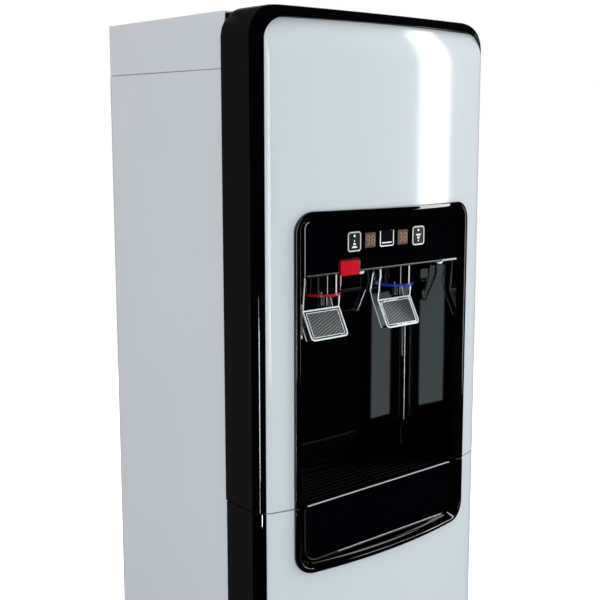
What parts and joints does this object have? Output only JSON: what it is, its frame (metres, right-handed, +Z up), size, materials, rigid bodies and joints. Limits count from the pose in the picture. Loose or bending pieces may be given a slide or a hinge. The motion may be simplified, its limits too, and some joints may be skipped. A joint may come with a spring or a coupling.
{
  "type": "water cooler",
  "caption": "Floor-standing bottom-loading water cooler with a bowed front, hot and cold lever taps in a recessed bay, a drip tray and a hinged lower door.",
  "frame": {"origin": "middle of the overall footprint, on the floor under the feet", "axes": "+Z up, -Y out of the front panel, +X to the right as seen from the front"},
  "size_m": [0.31, 0.3088, 1.04],
  "materials": {
    "panel_white": "glossy white moulded panel",
    "sheet_white": "satin white powder coat",
    "liner_white": "matt white moulding",
    "frame_black": "satin black moulding",
    "gloss_black": "piano black moulding",
    "moulded_black": "black moulding",
    "key_black": "black key with a silver outline",
    "display_amber": "unlit amber display window",
    "smoked_window": "smoked window",
    "board_green": "printed circuit board",
    "latch_red": "red moulding",
    "ring_red": "red moulding",
    "ring_blue": "blue moulding",
    "clear_plastic": "clear moulding",
    "rubber_black": "black rubber",
    "zinc_steel": "zinc plated sheet steel",
    "tank_steel": "stainless steel",
    "foam_white": "moulded foam",
    "copper_tube": "copper",
    "heater_grey": "heater band",
    "silicone_clear": "silicone hose",
    "condenser_black": "black enamel",
    "switch_red": "red rocker",
    "switch_green": "green rocker"
  },
  "bodies": {
    "cabinet": {"base": "moulded_black", "foot_front_left": "rubber_black", "foot_front_right": "rubber_black", "foot_rear_left": "rubber_black", "foot_rear_right": "rubber_black", "side_panel_left": "sheet_white", "side_panel_right": "sheet_white", "rear_panel": "sheet_white", "top_cover": "sheet_white", "upper_frame": "frame_black", "upper_panel": "panel_white", "dispensing_bay": "gloss_black", "fascia": "gloss_black", "hot_display": "display_amber", "cold_display": "display_amber", "water_indicator": "smoked_window", "control_board": "board_green", "hot_tap": "gloss_black", "cold_tap": "gloss_black", "hot_ring": "ring_red", "cold_ring": "ring_blue", "hot_lever_spring": "zinc_steel", "cold_lever_spring": "zinc_steel", "lower_hinge_pin": "zinc_steel", "upper_hinge_pin": "zinc_steel", "hinge_bracket": "zinc_steel", "catch_magnet": "moulded_black", "compartment_ceiling": "zinc_steel", "tank_shelf": "zinc_steel", "compressor": "condenser_black", "compressor_bracket": "zinc_steel", "condenser": "condenser_black", "cold_tank_insulation": "foam_white", "cold_tank": "tank_steel", "evaporator": "copper_tube", "cold_tank_lid": "liner_white", "hot_tank": "tank_steel", "heater_band": "heater_grey", "hot_hose": "silicone_clear", "cold_hose": "silicone_clear", "supply_hose": "silicone_clear", "pump": "moulded_black", "switch_housing": "moulded_black", "cord_gland": "moulded_black"},
    "door": {"door_frame": "frame_black", "door_panel": "panel_white", "door_inset": "gloss_black", "door_liner": "liner_white"},
    "hot_lever": {"hot_lever": "clear_plastic"},
    "cold_lever": {"cold_lever": "clear_plastic"},
    "safety_latch": {"safety_latch": "latch_red"},
    "button_hot": {"button_hot": "key_black"},
    "button_cold": {"button_cold": "key_black"},
    "drip_tray": {"drip_tray": "gloss_black"},
    "drip_grille": {"drip_grille": "moulded_black"},
    "heating_switch": {"heating_switch": "switch_red"},
    "cooling_switch": {"cooling_switch": "switch_green"},
    "drain_plug": {"drain_plug": "liner_white"},
    "suction_probe": {"suction_probe": "liner_white", "suction_hose": "silicone_clear"}
  },
  "joints": [
    {"name": "door_hinge", "type": "hinge", "parent": "cabinet", "child": "door", "pos_m": [0.143, -0.0872, 0.0375], "axis": [0, 0, 1], "range_deg": [0, 110]},
    {"name": "hot_lever_pivot", "type": "hinge", "parent": "cabinet", "child": "hot_lever", "pos_m": [-0.052, -0.0962, 0.8005], "axis": [1, 0, 0], "range_deg": [0, 12], "stiffness_Nm_per_rad": 0.6},
    {"name": "cold_lever_pivot", "type": "hinge", "parent": "cabinet", "child": "cold_lever", "pos_m": [0.052, -0.0962, 0.8005], "axis": [1, 0, 0], "range_deg": [0, 12], "stiffness_Nm_per_rad": 0.6},
    {"name": "safety_latch_pivot", "type": "hinge", "parent": "cabinet", "child": "safety_latch", "pos_m": [-0.0505, -0.134, 0.8], "axis": [1, 0, 0], "range_deg": [0, 15], "stiffness_Nm_per_rad": 0.05},
    {"name": "button_hot_press", "type": "slide", "parent": "cabinet", "child": "button_hot", "axis": [0, 1, 0], "range_m": [0, 0.001], "stiffness_N_per_m": 400},
    {"name": "button_cold_press", "type": "slide", "parent": "cabinet", "child": "button_cold", "axis": [0, 1, 0], "range_m": [0, 0.001], "stiffness_N_per_m": 400},
    {"name": "drip_tray_slide", "type": "slide", "parent": "cabinet", "child": "drip_tray", "axis": [0, -1, 0], "range_m": [0, 0.092]},
    {"name": "drip_grille_lift", "type": "slide", "parent": "drip_tray", "child": "drip_grille", "axis": [0, 0, 1], "range_m": [0, 0.05]},
    {"name": "heating_switch_rock", "type": "hinge", "parent": "cabinet", "child": "heating_switch", "pos_m": [-0.09, 0.1357, 0.64], "axis": [1, 0, 0], "range_deg": [0, 14]},
    {"name": "cooling_switch_rock", "type": "hinge", "parent": "cabinet", "child": "cooling_switch", "pos_m": [-0.056, 0.1357, 0.64], "axis": [1, 0, 0], "range_deg": [0, 14]},
    {"name": "drain_plug_pull", "type": "slide", "parent": "cabinet", "child": "drain_plug", "axis": [0, 1, 0], "range_m": [0, 0.03]},
    {"name": "suction_probe_lift", "type": "slide", "parent": "cabinet", "child": "suction_probe", "axis": [0, 0, 1], "range_m": [0, 0.025], "deforming": ["suction_hose"]}
  ]
}
